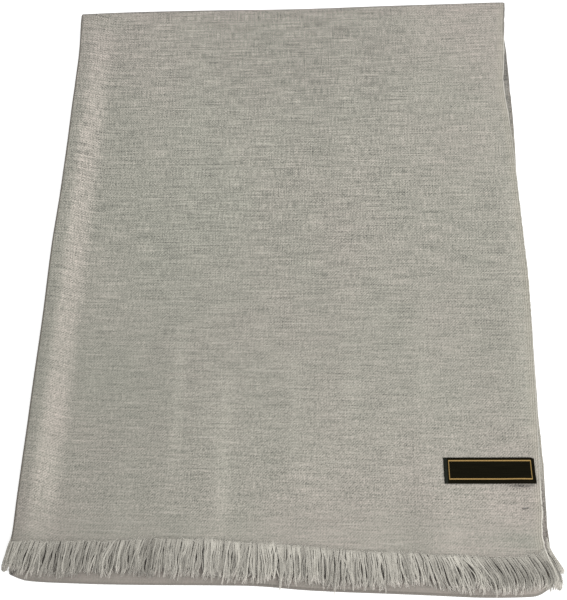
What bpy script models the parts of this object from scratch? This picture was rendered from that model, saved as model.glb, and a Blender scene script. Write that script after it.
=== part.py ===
"""A fringed twill scarf, folded once lengthwise and twice across, lying flat.

The pile is seen with its fringed ends towards -Y and its lengthwise fold towards -X. The cloth is
followed as one folded strip of two plies: the end stretch on top turns down over the far fold into the
under stretch on the floor, which turns up at the near fold. The stretches between them are one solid
whose edges are layered. Metres, +Z up, floor at z = 0.
"""

import bmesh
import bpy
import numpy as np

# The pile, folded.
PILE_LEFT = -0.1730  # lengthwise fold of the top stretch, at the middle of its wall
PILE_NEAR = -0.2267  # outside of the near fold
PILE_FAR = 0.2240  # outside of the far fold
CORNER = 0.005  # rounding of the pile's corners, seen from above

# The cloth.
WALL = 0.0010  # one ply
GAP = 0.0003  # air between plies
PITCH = WALL + GAP
PLY_RADIUS = PITCH / 2  # middle of the wall, where two plies join at the lengthwise fold
LAP = 0.040  # how far the near fold's upper leg runs in under the hidden layers
LAYER_DEPTH = 0.009  # how far in from their edges the hidden layers are apart

# The fringed ends. The row where the top fringe starts waves from side to side.
HEM_Y = -0.2005
HEM_WAVE_LENGTH = 0.330
HEM_CREST_X = -0.040
STRIP = 0.0020  # depth of the bound row that the locks hang from
LOCK_SINK = 0.0012  # how deep a lock's root sits in that row
LOCK_UNEVEN = 0.08  # share by which a lock is longer or shorter than its fringe
LOCK_WIDTH = (0.60, 0.32)  # at root and tip, as a share of the space for a lock
LOCK_DEPTH = (0.72, 0.48)  # at root and tip, as a share of the wall
BUNCH = 0.42  # how far neighbours draw together at their tips, as a share of the space for a lock
BUNCH_LOCKS = 5.3  # locks in a bunch, on average
BUNCH_DRIFT = 31.0  # how fast the bunches change in size along the fringe, per metre

# How far a lock swings sideways for each metre of its length: out to the left on the left half of the
# pile, and more and more to the right on the right half.
LEAN_LEFT = -0.24
LEAN_RISE = 1.4
LEAN_STEP = 0.22
LEAN_STEP_X = (0.050, 0.110)
OVERHANG_X = (-0.1752, 0.1762)  # past these the locks hang over the pile's sides
OVERHANG_RUN = 0.005
OVERHANG_DROP = 0.004

# The label.
LABEL_WIDTH = 0.058
LABEL_DEPTH = 0.016
LABEL_CENTRE = (0.1393, -0.1512)
LABEL_TURN = np.radians(1.1)
LABEL_LIFT = 0.0008  # how far its near right corner stands off the cloth

# The soft relief of the top: fuller along the lengthwise fold, with slow waves.
PUFF_HEIGHT = 0.0007
PUFF_IN = 0.030
PUFF_WIDTH = 0.022
WAVE_HEIGHT = 0.00025

# The crease that runs in from the right selvedge below the label.
CREASE_X = (0.142, 0.168)  # where it starts to rise, and where it is full
CREASE_Y = -0.166
CREASE_SLOPE = -0.30
CREASE_WIDTH = 0.004
CREASE_HEIGHT = 0.0011

# One row for each stretch of two plies: its lengthwise fold, the right selvedges of its outer and inner
# ply, how far and how often each edge wanders, how far the fold and the selvedges spread at the far
# corners, the wave of its hem, and the points across a ply.
STRETCHES = {
    "end_stretch": {
        "fold": PILE_LEFT, "outer": 0.1696, "inner": 0.1722, "wander": 0.0008, "waves": 3.2,
        "fold_spread": 0.0022, "outer_spread": 0.0052, "inner_spread": 0.0026,
        "hem_wave": 0.0032, "across": 15,
    },
    "under_stretch": {
        "fold": PILE_LEFT - 0.0003, "outer": 0.1742, "inner": 0.1750, "wander": 0.0005, "waves": 2.3,
        "fold_spread": 0.0020, "outer_spread": 0.0008, "inner_spread": 0.0,
        "hem_wave": 0.0, "across": 4,
    },
    "hidden_layers": {
        "fold": PILE_LEFT + 0.0002, "outer": 0.1735, "inner": 0.1744, "wander": 0.0006, "waves": 2.8,
        "fold_spread": 0.0012, "outer_spread": 0.0006, "inner_spread": 0.0,
        "hem_wave": 0.0, "across": 4,
    },
}
SPREAD_Y = (0.172, 0.218)  # where the far corners start to spread, and where they are widest

# One row for each fringe: the stretch and the ply that it grows from (ply 0 lies on the floor), which of
# the stretch's two plies that is, its locks, the height of their tips, their length, their share of the
# sideways lean and their segments.
FRINGES = {
    "upper_fringe": {
        "stretch": "end_stretch", "ply": 7, "side": "outer",
        "locks": 112, "tip_z": 0.0079, "length": 0.0205, "lean": 1.0, "segments": 4,
    },
    "second_fringe": {
        "stretch": "end_stretch", "ply": 6, "side": "inner",
        "locks": 78, "tip_z": 0.0068, "length": 0.0195, "lean": 0.9, "segments": 3,
    },
    "inner_fringe": {
        "stretch": "hidden_layers", "ply": 5, "side": "outer",
        "locks": 60, "tip_z": 0.0057, "length": 0.0185, "lean": 0.5, "segments": 3,
    },
}

# Finishes: linear colour, roughness.
CLOTH = (0.36, 0.34, 0.30, 1.0)
THREADS = (0.42, 0.39, 0.33, 1.0)
LABEL_BLACK = (0.008, 0.008, 0.006, 1.0)


def ply_height(ply):
    """Height of the middle of a ply's wall, counted from the floor."""
    return WALL / 2 + ply * PITCH


def smooth(value, low, high):
    """0 below low, 1 above high, and an S-curve between them."""
    t = np.clip((value - low) / (high - low), 0, 1)
    return t * t * (3 - 2 * t)


def hem(row, x):
    """The y of the row where a stretch's cloth ends and its fringe starts."""
    return HEM_Y + row["hem_wave"] * np.cos(2 * np.pi * (x - HEM_CREST_X) / HEM_WAVE_LENGTH)


def corner_pull(y):
    """How far an edge draws in at y, so that the pile's corners are rounded seen from above."""
    far = np.clip((y - (PILE_FAR - CORNER)) / CORNER, 0, 0.97)
    near = np.clip(((PILE_NEAR + CORNER) - y) / CORNER, 0, 0.97)
    return CORNER * (2 - np.sqrt(1 - far**2) - np.sqrt(1 - near**2))


def edge(row, which, y):
    """The x of a stretch's fold or selvedge at y: a slow wander, a spread and a drawn-in corner."""
    phase = {"fold": 0.0, "outer": 1.3, "inner": 3.1}[which] + row["waves"]
    wander = row["wander"] * np.sin(row["waves"] * 2 * np.pi * y / (PILE_FAR - PILE_NEAR) + phase)
    spread = row[which + "_spread"] * smooth(y, *SPREAD_Y)
    if which == "fold":
        return row["fold"] + 0.4 * wander - spread + corner_pull(y)
    return row[which] + wander + spread - corner_pull(y)


def swell(x, y):
    """Height of the top stretch's soft relief: fuller by the lengthwise fold, with a few slow waves.

    A small crease runs in from the right selvedge below the label.
    """
    puff = PUFF_HEIGHT * np.exp(-(((x - PILE_LEFT - PUFF_IN) / PUFF_WIDTH) ** 2))
    waves = WAVE_HEIGHT * (1 + np.sin(38 * x + 9 * y) * np.cos(17 * y - 11 * x))
    across = (y - CREASE_Y - CREASE_SLOPE * (x - CREASE_X[0])) / CREASE_WIDTH
    crease = CREASE_HEIGHT * smooth(x, *CREASE_X) * np.exp(-(across**2))
    return puff + waves + crease


def fold_path(start, turn, end, first_z, last_z, steps, extra=()):
    """The strip's middle line: a level leg, a half turn and a level leg back.

    Gives y, z, the outward normal's y and z, and 1 on the first leg, 0 past it. The first leg also has a
    point at each y in extra.
    """
    side = np.sign(turn - start)
    up = np.sign(first_z - last_z)
    middle = (first_z + last_z) / 2
    radius = abs(first_z - last_z) / 2
    first = np.sort(np.concatenate([np.linspace(start, turn, steps["first"]), extra]))
    first = first[::int(side)] if side < 0 else first
    angle = np.linspace(0, np.pi, steps["turn"] + 1)[1:-1]
    last = np.linspace(turn, end, steps["last"])
    y = np.concatenate([first, turn + side * radius * np.sin(angle), last])
    bow = np.concatenate([np.ones_like(first), np.cos(angle), -np.ones_like(last)])
    normal_y = np.concatenate([np.zeros_like(first), side * np.sin(angle), np.zeros_like(last)])
    on_first = np.concatenate([np.ones_like(first), np.zeros(len(angle) + len(last))])
    return y, middle + up * radius * bow, normal_y, up * bow, on_first


def hairpin(flat_steps, roll_steps):
    """The strip's cross-section: in along the outer ply, round the lengthwise fold, out along the inner.

    Gives reach (1 at a selvedge, 0 at the fold), nose (how far out the roll stands) and swing (+1 on the
    outer ply, -1 on the inner one).
    """
    outward = np.linspace(0, 1, flat_steps)
    angle = np.linspace(np.pi / 2, -np.pi / 2, roll_steps + 1)[1:-1]
    reach = np.concatenate([outward[::-1], np.zeros_like(angle), outward])
    nose = np.concatenate([np.zeros(flat_steps), np.cos(angle), np.zeros(flat_steps)])
    swing = np.concatenate([np.ones(flat_steps), np.sin(angle), -np.ones(flat_steps)])
    return reach, nose, swing


def new_object(name, verts, faces, collection, material=None):
    """A mesh object from an array of points and a list or array of faces, shaded smooth."""
    mesh = bpy.data.meshes.new(name)
    mesh.from_pydata(np.asarray(verts).tolist(), [], np.asarray(faces).tolist())
    mesh.shade_smooth()
    mesh.set_sharp_from_angle(angle=np.radians(50))
    obj = bpy.data.objects.new(name, mesh)
    collection.objects.link(obj)
    if material:
        mesh.materials.append(material)
    return obj


def grid_faces(rows, columns):
    """Quads of a grid of points numbered row by row."""
    corner = (np.arange(rows - 1)[:, None] * columns + np.arange(columns - 1)).reshape(-1)
    return np.stack([corner, corner + 1, corner + columns + 1, corner + columns], axis=1)


def outward(obj):
    """Turns the faces of a closed mesh outwards."""
    mesh = bmesh.new()
    mesh.from_mesh(obj.data)
    bmesh.ops.recalc_face_normals(mesh, faces=mesh.faces)
    mesh.to_mesh(obj.data)
    mesh.free()


def give_wall(obj, offset=0.0):
    """A wall of one ply on an open sheet, centred on it or, with offset 1, on top of it."""
    solid = obj.modifiers.new("wall", "SOLIDIFY")
    solid.thickness = WALL
    solid.offset = offset
    solid.use_even_offset = True


def folded_stretch(name, path, lifted, collection, material):
    """One stretch of the scarf: the hairpin section carried along its folded path, as a wall."""
    row = STRETCHES[name]
    y, z, normal_y, normal_z, on_first = (part[:, None] for part in path)
    reach, nose, swing = hairpin(row["across"], roll_steps=6)
    radius = PLY_RADIUS
    selvedge = np.where(swing > 0, edge(row, "outer", y), edge(row, "inner", y))
    fold = edge(row, "fold", y)
    x = fold + radius * (1 - nose) + reach * (selvedge - fold - radius)
    # The first leg starts at the waving hem, and is back at its own y by the middle of the pile.
    away = on_first * (1 - smooth(y, HEM_Y, HEM_Y + 0.2))
    shown_y = y + normal_y * radius * swing + away * (hem(row, x) - HEM_Y)
    height = z + normal_z * radius * swing
    if lifted:
        height = height + on_first * swell(x, y) * (1 - smooth(y, 0.18, PILE_FAR - 0.006))
    points = np.stack([x, shown_y, height], axis=-1)
    rows, columns = x.shape
    obj = new_object(name, points.reshape(-1, 3), grid_faces(rows, columns), collection, material)
    give_wall(obj)
    return obj


def block(name, low, high, collection):
    """A plain box between two corners, for joining."""
    mesh = bmesh.new()
    bmesh.ops.create_cube(mesh, size=1)
    for vert in mesh.verts:
        vert.co = [np.interp(vert.co[k], (-0.5, 0.5), (low[k], high[k])) for k in range(3)]
    data = bpy.data.meshes.new(name)
    mesh.to_mesh(data)
    mesh.free()
    obj = bpy.data.objects.new(name, data)
    collection.objects.link(obj)
    hide_helper(obj)
    return obj


def hide_helper(obj):
    """Keeps a helper out of renders, and draws it as wire."""
    obj.hide_render = True
    obj.display_type = "WIRE"


def join(obj, other):
    """A Boolean union of a helper into an object."""
    union = obj.modifiers.new("join", "BOOLEAN")
    union.operation = "UNION"
    union.solver = "EXACT"
    union.object = other


def lock_lean(x):
    """How far the lock that grows at x swings sideways for each metre of its length."""
    return LEAN_LEFT + LEAN_RISE * (x - PILE_LEFT) + LEAN_STEP * smooth(x, *LEAN_STEP_X)


def overhang(x):
    """How far a lock hangs down at x, past the pile's sides."""
    left, right = OVERHANG_X
    return OVERHANG_DROP * (smooth(left - x, 0, OVERHANG_RUN) + smooth(x - right, 0, OVERHANG_RUN))


def root_height(row, x, y):
    """The height of the ply that a fringe grows from, at x and y."""
    lifted = row["stretch"] == "end_stretch"
    return ply_height(row["ply"]) + lifted * swell(x, y)


def locks(row, roots, rng):
    """The locks of one fringe: rings of four points along a sagging, leaning line.

    Neighbours draw together into loose bunches towards their tips, and never cross.
    """
    count = row["locks"]
    pitch = roots[1] - roots[0]
    phase = roots * 2 * np.pi / (BUNCH_LOCKS * pitch) + 3 * np.sin(roots * BUNCH_DRIFT)
    bunch = BUNCH * pitch * np.sin(phase)
    length = row["length"] * (1 + LOCK_UNEVEN * rng.uniform(-1, 1, count))
    u = np.linspace(0, 1, row["segments"] + 1)
    along = u[:, None] * length
    start_y = hem(STRETCHES[row["stretch"]], roots) - GAP - STRIP + LOCK_SINK
    lean = row["lean"] * lock_lean(roots)
    x = roots + lean * along + bunch * u[:, None] ** 1.5
    y = start_y - along / np.hypot(1, lean)
    top = root_height(row, roots, start_y)
    z = top + (row["tip_z"] - top) * smooth(u[:, None], 0.05, 1.0) - overhang(x)
    half_width = pitch / 2 * np.interp(u, (0, 1), LOCK_WIDTH)[:, None]
    half_depth = WALL / 2 * np.interp(u, (0, 1), LOCK_DEPTH)[:, None]
    ring = []
    for across, upward in ((1, 0), (0, 1), (-1, 0), (0, -1)):
        ring.append(np.stack([x + across * half_width, y, z + upward * half_depth], axis=-1))
    return np.stack(ring, axis=2).transpose(1, 0, 2, 3)


def tube_faces(tubes, rings):
    """Side quads and end caps of tubes with four points a ring, numbered tube by tube."""
    faces = []
    for tube in range(tubes):
        base = tube * rings * 4
        for ring in range(rings - 1):
            for side in range(4):
                here = base + ring * 4
                after = (side + 1) % 4
                faces.append([here + side, here + after, here + 4 + after, here + 4 + side])
        last = base + (rings - 1) * 4
        faces.append([base + 3, base + 2, base + 1, base])
        faces.append([last, last + 1, last + 2, last + 3])
    return faces


def fringe(name, collection, helpers, material, rng):
    """A bound row 0.3 mm in front of the cloth's edge, with its locks joined into it."""
    row = FRINGES[name]
    span = STRETCHES[row["stretch"]]
    left = span["fold"] + 2 * PITCH
    right = span[row["side"]]
    x = np.linspace(left, right, span["across"])
    back = hem(span, x) - GAP
    height = root_height(row, x, back)
    near = np.stack([x, back - STRIP, height], axis=-1)
    far = np.stack([x, back, height], axis=-1)
    points = np.concatenate([near, far])
    obj = new_object(name, points, grid_faces(2, len(x)), collection, material)
    give_wall(obj)
    pitch = (right - left) / row["locks"]
    roots = left + pitch * (np.arange(row["locks"]) + 0.5)
    strands = locks(row, roots, rng)
    faces = tube_faces(row["locks"], row["segments"] + 1)
    helper = new_object(name + "_locks", strands.reshape(-1, 3), faces, helpers)
    outward(helper)
    hide_helper(helper)
    join(obj, helper)


def label(collection, material):
    """The sewn label: a stiff strip 0.3 mm above the top ply, its near right corner a little lifted."""
    across, down = np.meshgrid(np.linspace(-0.5, 0.5, 9), np.linspace(-0.5, 0.5, 4))
    wide = across * LABEL_WIDTH
    deep = down * LABEL_DEPTH
    x = LABEL_CENTRE[0] + wide * np.cos(LABEL_TURN) - deep * np.sin(LABEL_TURN)
    y = LABEL_CENTRE[1] + wide * np.sin(LABEL_TURN) + deep * np.cos(LABEL_TURN)
    lift = LABEL_LIFT * smooth(across, 0.1, 0.5) * smooth(-down, -0.1, 0.5)
    z = ply_height(7) + WALL / 2 + GAP + swell(x, y) + lift
    points = np.stack([x, y, z], axis=-1).reshape(-1, 3)
    obj = new_object("label", points, grid_faces(*x.shape), collection, material)
    give_wall(obj, offset=1.0)


def finish(name, colour, roughness):
    """A Principled material."""
    material = bpy.data.materials.new(name)
    material.use_nodes = True
    shader = material.node_tree.nodes["Principled BSDF"]
    shader.inputs["Base Color"].default_value = colour
    shader.inputs["Roughness"].default_value = roughness
    shader.inputs["Metallic"].default_value = 0.0
    return material


def rest_on_origin(collection):
    """Shifts the objects so that the middle of the underside of their common box is the origin."""
    bpy.context.view_layer.update()
    graph = bpy.context.evaluated_depsgraph_get()
    low = np.full(3, np.inf)
    high = np.full(3, -np.inf)
    for obj in collection.objects:
        mesh = obj.evaluated_get(graph).to_mesh()
        points = np.empty(len(mesh.vertices) * 3, np.float32)
        mesh.vertices.foreach_get("co", points)
        low = np.minimum(low, points.reshape(-1, 3).min(axis=0))
        high = np.maximum(high, points.reshape(-1, 3).max(axis=0))
    middle = (low + high) / 2
    for obj in bpy.data.objects:
        obj.location = (-middle[0], -middle[1], -low[2])


def main():
    for obj in list(bpy.data.objects):
        bpy.data.objects.remove(obj)
    scarf = bpy.data.collections.new("folded_scarf")
    helpers = bpy.data.collections.new("helpers")
    bpy.context.scene.collection.children.link(scarf)
    bpy.context.scene.collection.children.link(helpers)
    helpers.hide_render = True
    rng = np.random.default_rng(7)
    cloth = finish("twill_cloth", CLOTH, 0.85)
    threads = finish("fringe_threads", THREADS, 0.85)
    black = finish("label_weave", LABEL_BLACK, 0.7)

    # Heights of the middle line of each pair of plies, from the floor up.
    pair = [ply_height(2 * k) + PLY_RADIUS for k in range(4)]
    far_turn = PILE_FAR - (pair[3] - pair[0]) / 2 - PLY_RADIUS - WALL / 2
    near_turn = PILE_NEAR + (pair[1] - pair[0]) / 2 + PLY_RADIUS + WALL / 2
    lap_end = PILE_NEAR + LAP

    steps = {"first": 15, "turn": 10, "last": 2}
    by_crease = CREASE_Y + CREASE_WIDTH * np.array([-3, -2, -1, 0, 1, 2])
    top = fold_path(HEM_Y, far_turn, far_turn - GAP, pair[3], pair[0], steps, by_crease)
    folded_stretch("end_stretch", top, True, scarf, cloth)
    steps = {"first": 10, "turn": 8, "last": 3}
    under = fold_path(far_turn - 2 * GAP, near_turn, lap_end, pair[0], pair[1], steps)
    folded_stretch("under_stretch", under, False, scarf, cloth)

    steps = {"first": 11, "turn": 6, "last": 10}
    inside = fold_path(HEM_Y, far_turn, lap_end + GAP, pair[2], pair[1], steps)
    layers = folded_stretch("hidden_layers", inside, False, scarf, cloth)
    low = (PILE_LEFT + LAYER_DEPTH, lap_end + LAYER_DEPTH, ply_height(2))
    high = (STRETCHES["hidden_layers"]["outer"] - LAYER_DEPTH, far_turn - WALL, ply_height(5))
    join(layers, block("middle", low, high, helpers))

    for name in FRINGES:
        fringe(name, scarf, helpers, threads, rng)
    label(scarf, black)
    rest_on_origin(scarf)


main()
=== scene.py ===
"""Looks of a fringed twill scarf, folded once lengthwise and twice across, lying flat.

The pile is seen with its fringed ends towards -Y and its lengthwise fold towards -X. Each stretch of
cloth is one strip of two plies, a hairpin section carried along a path that turns at a cross fold.
Numbers are in metres, in the frame that the pile was measured in; pile_shift() takes them to the row
frame.
"""

import bpy
import numpy as np
from mathutils import Matrix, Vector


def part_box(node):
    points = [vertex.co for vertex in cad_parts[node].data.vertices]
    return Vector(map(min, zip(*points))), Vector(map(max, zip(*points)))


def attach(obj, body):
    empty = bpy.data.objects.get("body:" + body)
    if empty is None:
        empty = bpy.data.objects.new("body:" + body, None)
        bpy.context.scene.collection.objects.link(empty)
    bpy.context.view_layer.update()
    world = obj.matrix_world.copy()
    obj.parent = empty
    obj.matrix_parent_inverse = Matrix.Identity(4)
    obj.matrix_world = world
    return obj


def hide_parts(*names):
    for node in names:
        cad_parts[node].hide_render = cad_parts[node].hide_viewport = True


bl_info = {
    "name": "Folded Fringed Scarf",
    "version": (1, 0, 0),
    "blender": (4, 5, 0),
    "location": "3D View > Sidebar > Scarf",
    "description": "Cloth, fringes and label of a folded twill scarf",
    "category": "Object",
}

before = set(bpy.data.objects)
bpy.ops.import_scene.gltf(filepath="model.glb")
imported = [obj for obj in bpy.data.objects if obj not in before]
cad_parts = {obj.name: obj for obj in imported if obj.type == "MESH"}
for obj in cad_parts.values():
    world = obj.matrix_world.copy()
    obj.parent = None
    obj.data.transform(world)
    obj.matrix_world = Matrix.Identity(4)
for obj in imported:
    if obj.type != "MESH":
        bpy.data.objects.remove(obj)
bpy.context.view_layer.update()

# The pile, folded.
PILE_LEFT = -0.1730  # lengthwise fold of the top stretch, at the middle of its wall
PILE_NEAR = -0.2267
PILE_FAR = 0.2240
CORNER = 0.002  # rounding of the pile's corners, seen from above
WALL = 0.0010  # one ply
GAP = 0.0003  # air between plies
PITCH = WALL + GAP
PLY_RADIUS = PITCH / 2
LAP = 0.040

HEM_Y = -0.2005  # the row where the plies under the top one end
HEM_FADE = 0.2  # how far along the cloth the drawn hem still bends the rows of the weave

# How far a thread swings sideways for each metre of its length.
LEAN_LEFT = -0.24
LEAN_RISE = 1.4
LEAN_STEP = 0.22
LEAN_STEP_X = (0.050, 0.110)

LABEL_CENTRE = (0.1393, -0.1512)
LABEL_TURN = np.radians(1.1)
LABEL_WALL = 0.0005
LABEL_LIFT = 0.00035  # from the cloth under the label to the middle of the label's wall
LABEL_LINE = (-0.0257, 0.0266, -0.0053, 0.0063)  # left, right, near and far side of the border line
LABEL_HEM = (-0.0271, -0.0266)
PICK_STEP = 0.00042  # the label's threads across
END_STEP = 0.00034

# The soft relief of the top: fuller along the lengthwise fold, with slow waves and one crease.
PUFF_HEIGHT = 0.0007
PUFF_IN = 0.030
PUFF_WIDTH = 0.022
WAVE_HEIGHT = 0.00025
CREASE_X = (0.142, 0.168)
CREASE_Y = -0.166
CREASE_SLOPE = -0.30
CREASE_WIDTH = 0.004
CREASE_HEIGHT = 0.0011

# One row for each small crease of the top ply: its two ends, its width and its height. CREASE_SHADE is how
# much lighter a metre of height makes the cloth: painted light on each crease's ridge and painted
# shade beside it.
CREASE_SHADE = 210.0
CREASES = (
    (0.1560, -0.1722, 0.1690, -0.1675, 0.0009, 0.00050),
    (0.1470, -0.1775, 0.1600, -0.1738, 0.0012, 0.00016),
    (0.1560, -0.1905, 0.1690, -0.1870, 0.0012, 0.00025),
    (0.0780, -0.0430, 0.1240, -0.0500, 0.0016, 0.00022),
    (0.1180, -0.0500, 0.1740, -0.0420, 0.0018, 0.00030),
    (0.1080, -0.0340, 0.1560, -0.0385, 0.0014, 0.00018),
    (0.1280, -0.0570, 0.1730, -0.0550, 0.0013, 0.00022),
    (0.1210, -0.0670, 0.1730, -0.0630, 0.0014, 0.00018),
    (0.0700, 0.0960, 0.1400, 0.0930, 0.0018, 0.00012),
    (-0.1450, 0.0600, -0.0900, 0.0640, 0.0020, 0.00010),
)

# One row for each stretch: its lengthwise fold, the right selvedges of its outer and inner ply, how far
# and how often each edge wanders, how far the edges spread at the far corners, whether its hem and its
# outer selvedge are drawn lines, the points across its outer and its inner ply, and how its pieces' names
# end.
STRETCHES = {
    "end_stretch": {
        "fold": PILE_LEFT, "outer": 0.1696, "inner": 0.1722, "wander": 0.0008, "waves": 3.2,
        "fold_spread": 0.0022, "outer_spread": 0.0052, "inner_spread": 0.0026,
        "drawn": True, "across": (110, 16), "piece": "end",
    },
    "under_stretch": {
        "fold": PILE_LEFT - 0.0003, "outer": 0.1742, "inner": 0.1750, "wander": 0.0005, "waves": 2.3,
        "fold_spread": 0.0020, "outer_spread": 0.0008, "inner_spread": 0.0,
        "drawn": False, "across": (72, 18), "piece": "under",
    },
    "hidden_layers": {
        "fold": PILE_LEFT + 0.0002, "outer": 0.1735, "inner": 0.1744, "wander": 0.0006, "waves": 2.8,
        "fold_spread": 0.0012, "outer_spread": 0.0006, "inner_spread": 0.0,
        "drawn": False, "across": (40, 18), "piece": "inner",
    },
}
EDGE_PHASE = {"fold": 0.0, "outer": 1.3, "inner": 3.1}
SPREAD_Y = (0.172, 0.218)
TUCK = 0.0018  # how far the top selvedge draws in beside the far fold
TUCK_Y = (0.2206, 0.2222)
NEAR_BOW_Y = (0.196, 0.224)  # from where to where the near fold's bow grows, towards -Y
FAR_BOW_Y = (0.190, 0.222)
RELIEF_END_Y = (0.180, 0.218)
FOLD_LINE_WIDTH = 0.0006
FINE_REACH = np.concatenate([[0.0014, 0.0028, 0.0048, 0.0080], np.linspace(0.905, 0.998, 26)])
ROLL_STEPS = 12

# One row for each fringe: the stretch, the ply it grows from (0 lies on the floor), its yarns and the
# threads of each, the height of their tips, their shares of the full length and of the sideways lean, the
# rings of a thread, how pale it is and how far the threads of a yarn wind together. The second fringe is
# painted paler than the top one: painted light against the shade that the top fringe throws on it.
FRINGES = {
    "fringe_upper": {
        "node": "upper_fringe", "stretch": "end_stretch", "ply": 7,
        "yarns": 300, "threads": 4, "tip_z": 0.0072, "length": 1.00, "lean": 1.0, "rings": 13, "tone": 0.60,
        "wound": 1.0,
    },
    "fringe_second": {
        "node": "second_fringe", "stretch": "end_stretch", "ply": 6,
        "yarns": 210, "threads": 4, "tip_z": 0.0064, "length": 0.95, "lean": 0.95, "rings": 9, "tone": 0.72,
        "wound": 0.6,
    },
    "fringe_inner": {
        "node": "inner_fringe", "stretch": "hidden_layers", "ply": 5,
        "yarns": 190, "threads": 3, "tip_z": 0.0057, "length": 0.90, "lean": 0.7, "rings": 8, "tone": 0.62,
        "wound": 0.4,
    },
}
THREAD_RADIUS = 0.00023
LAY = 0.8  # turns that the threads of a yarn take about each other along the fringe
ROOT_LIFT = 0.00026  # from the middle of a ply's wall to the middle of the yarns that leave it

# How the yarns differ: the spacing and the size of a slow drift, and the size of each yarn's own part.
SWING_PLAY = (0.007, 0.046, 0.038)
CURVE_PLAY = (0.006, 0.00060, 0.00042)
PHASE_PLAY = (0.010, 0.35, 0.05)
HOOK_PLAY = (0.004, 0.0007, 0.0007)
TONE_PLAY = (0.004, 0.05, 0.12)
STRAYS = 0.18  # share of the yarns that swing out of line
SPARE_OPENINGS = 46
LOOPS = 520
LOOP_LIFT = 0.00046  # from the middle of a ply's wall to the feet of the loops
YARN_TWIST = 0.0016  # the run of one turn of a yarn

# Lines seen from above, as rows of x and y: the row where the top fringe starts, where its tips end, and
# the outside of the near fold.
HEM_LINE = (
    (-0.180, -0.2024), (-0.169, -0.2021), (-0.139, -0.2013), (-0.113, -0.2008), (-0.086, -0.1988),
    (-0.067, -0.1980), (-0.047, -0.1978), (-0.034, -0.1981), (-0.008, -0.1994), (0.017, -0.2000),
    (0.037, -0.2016), (0.056, -0.2024), (0.068, -0.2027), (0.093, -0.2028), (0.105, -0.2035),
    (0.130, -0.2041), (0.155, -0.2035), (0.171, -0.2003), (0.180, -0.1998),
)
TIP_LINE = (
    (-0.182, -0.2185), (-0.175, -0.2208), (-0.168, -0.2224), (-0.155, -0.2228), (-0.138, -0.2240),
    (-0.118, -0.2219), (-0.105, -0.2220), (-0.092, -0.2204), (-0.079, -0.2220), (-0.059, -0.2213),
    (-0.046, -0.2221), (-0.008, -0.2226), (0.018, -0.2233), (0.046, -0.2246), (0.056, -0.2250),
    (0.071, -0.2240), (0.093, -0.2226), (0.105, -0.2232), (0.114, -0.2258), (0.124, -0.2256),
    (0.145, -0.2264), (0.154, -0.2243), (0.163, -0.2229), (0.169, -0.2220), (0.176, -0.2226),
    (0.182, -0.2212),
)
NEAR_LINE = (
    (-0.176, -0.2215), (-0.1712, -0.2232), (-0.1690, -0.2250), (-0.1665, -0.2263), (-0.152, -0.2271),
    (-0.143, -0.2272), (-0.112, -0.2273), (-0.090, -0.2270), (-0.079, -0.2268), (-0.047, -0.2260),
    (-0.014, -0.2254), (-0.001, -0.2258), (0.018, -0.2270), (0.043, -0.2275), (0.073, -0.2276),
    (0.105, -0.2279), (0.126, -0.2283), (0.139, -0.2281), (0.151, -0.2276), (0.164, -0.2268),
    (0.168, -0.2262), (0.1705, -0.2247), (0.1730, -0.2218), (0.176, -0.2180),
)

# Lines seen from above, as rows of y and x: the right selvedge of the top ply, and how far the fold on
# the left, and the lower selvedges on the right, lie from their straight lines.
TOP_SELVEDGE = (
    (-0.2050, 0.1702), (-0.1972, 0.1701), (-0.1889, 0.1688), (-0.1805, 0.1700), (-0.1652, 0.1705),
    (-0.130, 0.1718), (-0.110, 0.1725), (-0.080, 0.1735), (-0.050, 0.1746), (-0.017, 0.1751),
    (0.020, 0.1742), (0.060, 0.1732), (0.095, 0.1722), (0.1206, 0.1706), (0.1268, 0.1700),
    (0.1359, 0.1695), (0.1487, 0.1692), (0.1635, 0.1711), (0.1960, 0.1735), (0.2240, 0.1762),
)
FOLD_DRIFT = (
    (-0.205, 0.0001), (-0.195, 0.0007), (-0.189, 0.0006), (-0.176, 0.0002), (-0.150, 0.0004),
    (-0.122, 0.0009), (-0.079, 0.0007), (-0.049, 0.0005), (-0.018, 0.0001), (0.000, 0.0001),
    (0.015, 0.0003), (0.031, 0.0008), (0.048, 0.0012), (0.066, 0.0010), (0.092, 0.0007),
    (0.129, 0.0004), (0.148, 0.0008), (0.168, 0.0009), (0.194, 0.0011), (0.206, 0.0007),
    (0.214, 0.0003), (0.224, -0.0002),
)
RIGHT_DRIFT = (
    (-0.205, 0.0003), (-0.193, 0.0), (-0.187, -0.0002), (-0.175, 0.0001), (-0.162, 0.0),
    (-0.150, 0.0004), (-0.143, 0.0003), (-0.130, -0.0003), (-0.110, -0.0006), (-0.090, 0.0002),
    (-0.076, 0.0007), (-0.047, 0.0014), (-0.032, 0.0017), (-0.017, 0.0024), (-0.002, 0.0018),
    (0.014, 0.0008), (0.030, 0.0001), (0.046, -0.0004), (0.063, -0.0006), (0.075, -0.0001),
    (0.101, 0.0008), (0.133, 0.0012), (0.142, 0.0013), (0.151, 0.0009), (0.170, 0.0007),
    (0.180, -0.0001), (0.191, -0.0006), (0.197, -0.0011), (0.201, -0.0006), (0.209, 0.0),
    (0.224, -0.0003),
)
FAR_DRIFT = (
    (-0.176, 0.0), (-0.149, 0.0006), (-0.123, 0.0008), (-0.097, 0.0007), (-0.070, 0.0005),
    (-0.044, 0.0002), (-0.018, -0.0005), (0.008, -0.0007), (0.034, -0.0006), (0.060, -0.0002),
    (0.086, 0.0001), (0.138, 0.0003), (0.164, 0.0006), (0.177, 0.0004),
)
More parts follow.
